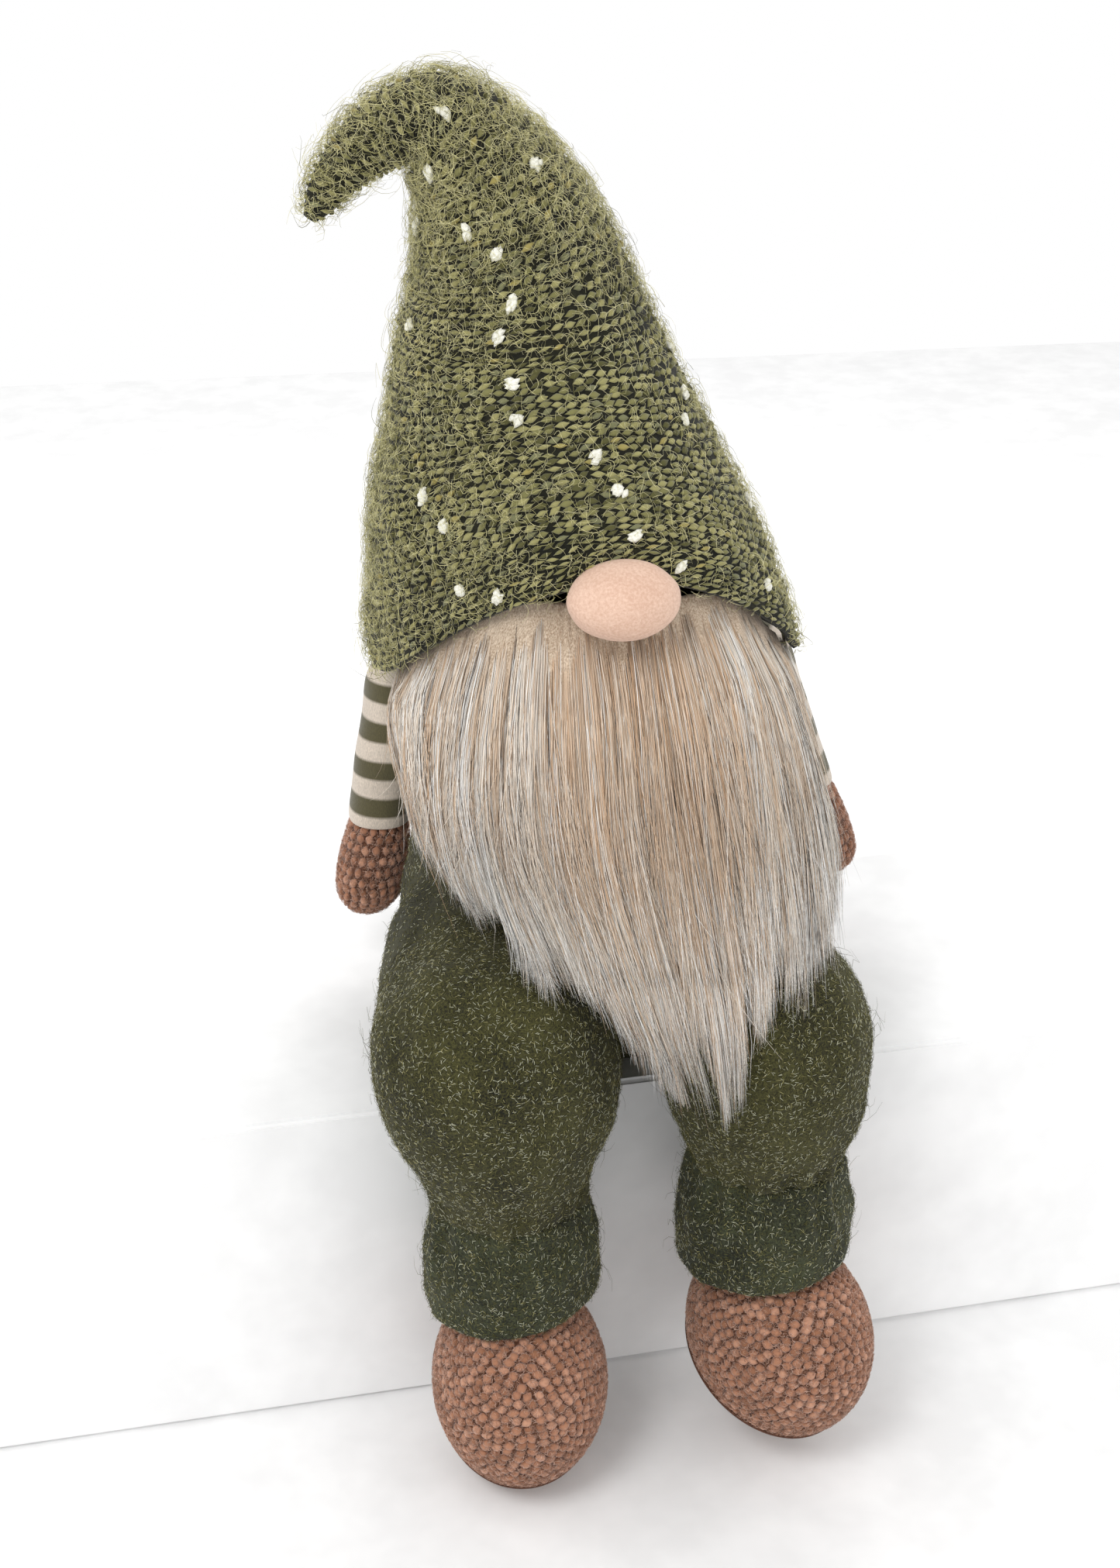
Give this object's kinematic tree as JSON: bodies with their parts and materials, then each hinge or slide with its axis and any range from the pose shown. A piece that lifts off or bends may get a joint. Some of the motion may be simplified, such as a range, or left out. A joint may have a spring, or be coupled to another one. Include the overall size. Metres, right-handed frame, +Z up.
{
  "type": "tomte gnome figurine",
  "caption": "Stuffed Nordic gnome that sits on a shelf edge: tall knitted hat with a curled tip, round nose, long fur beard, striped sleeves and dangling legs in chenille boots.",
  "frame": {"origin": "centre of the flat seat, on the seat plane that rests on the shelf", "axes": "+Z up, the figure looks along -Y, its own left side is at +X"},
  "size_m": [0.2406, 0.256, 0.5498],
  "materials": {
    "trouser_knit": "brushed fine knit with metallic flecks",
    "cuff_knit": "brushed fine knit, folded",
    "hat_knit": "fuzzy purl-side knit with white slubs",
    "chenille": "chenille knit in bumps",
    "sleeve_jersey": "striped jersey, cream and olive",
    "nose_felt": "matte felt",
    "beard_fur": "long pile faux fur",
    "beard_backing": "knitted backing cloth",
    "filling": "polyester fibre",
    "weight_filling": "cloth bag of sand or pellets",
    "seat_cloth": "plain woven cloth",
    "elastic": "thin elastic thread",
    "wire": "soft annealed wire"
  },
  "bodies": {
    "torso": {"overalls_torso": "trouser_knit", "seat_panel": "seat_cloth", "weight_bag": "weight_filling", "torso_stuffing": "filling", "hat_knit_lower": "hat_knit", "hat_stuffing_lower": "filling", "hat_wire_lower": "wire", "nose_cover": "nose_felt", "nose_filling": "filling"},
    "hat_tip": {"hat_knit_tip": "hat_knit", "hat_stuffing_tip": "filling", "hat_wire_tip": "wire"},
    "beard": {"beard_backing": "beard_backing", "beard_pile": "beard_fur"},
    "left_arm": {"left_sleeve": "sleeve_jersey", "left_arm_stuffing": "filling", "left_hand": "chenille", "left_hand_stuffing": "filling"},
    "left_leg": {"left_trouser_leg": "trouser_knit", "left_leg_stuffing": "filling", "left_ankle_elastic": "elastic"},
    "left_foot": {"left_cuff": "cuff_knit", "left_boot_upper": "chenille", "left_boot_sole": "chenille", "left_boot_stuffing": "filling"},
    "right_arm": {"right_sleeve": "sleeve_jersey", "right_arm_stuffing": "filling", "right_hand": "chenille", "right_hand_stuffing": "filling"},
    "right_leg": {"right_trouser_leg": "trouser_knit", "right_leg_stuffing": "filling", "right_ankle_elastic": "elastic"},
    "right_foot": {"right_cuff": "cuff_knit", "right_boot_upper": "chenille", "right_boot_sole": "chenille", "right_boot_stuffing": "filling"}
  },
  "joints": [
    {"name": "hat_tip_bend", "type": "hinge", "parent": "torso", "child": "hat_tip", "pos_m": [-0.03, 0, 0.333], "axis": [0, 1, 0], "range_deg": [-30, 45]},
    {"name": "beard_lift", "type": "hinge", "parent": "torso", "child": "beard", "pos_m": [0, -0.076, 0.203], "axis": [-1, 0, 0], "range_deg": [0, 45]},
    {"name": "left_arm_raise", "type": "hinge", "parent": "torso", "child": "left_arm", "pos_m": [0.081, 0.032, 0.149], "axis": [0, -1, 0], "range_deg": [0, 70]},
    {"name": "left_leg_swing", "type": "hinge", "parent": "torso", "child": "left_leg", "pos_m": [0.0544, -0.118, 0.046], "axis": [-1, 0, 0], "range_deg": [-10, 90]},
    {"name": "left_ankle", "type": "hinge", "parent": "left_leg", "child": "left_foot", "pos_m": [0.0575, -0.118, -0.016], "axis": [-1, 0, 0], "range_deg": [-25, 25]},
    {"name": "right_arm_raise", "type": "hinge", "parent": "torso", "child": "right_arm", "pos_m": [-0.0775, 0.032, 0.144], "axis": [0, 1, 0], "range_deg": [0, 80]},
    {"name": "right_leg_swing", "type": "hinge", "parent": "torso", "child": "right_leg", "pos_m": [-0.0544, -0.118, 0.046], "axis": [-1, 0, 0], "range_deg": [-10, 90]},
    {"name": "right_ankle", "type": "hinge", "parent": "right_leg", "child": "right_foot", "pos_m": [-0.04864, -0.118, -0.026], "axis": [-1, 0, 0], "range_deg": [-25, 25]}
  ]
}
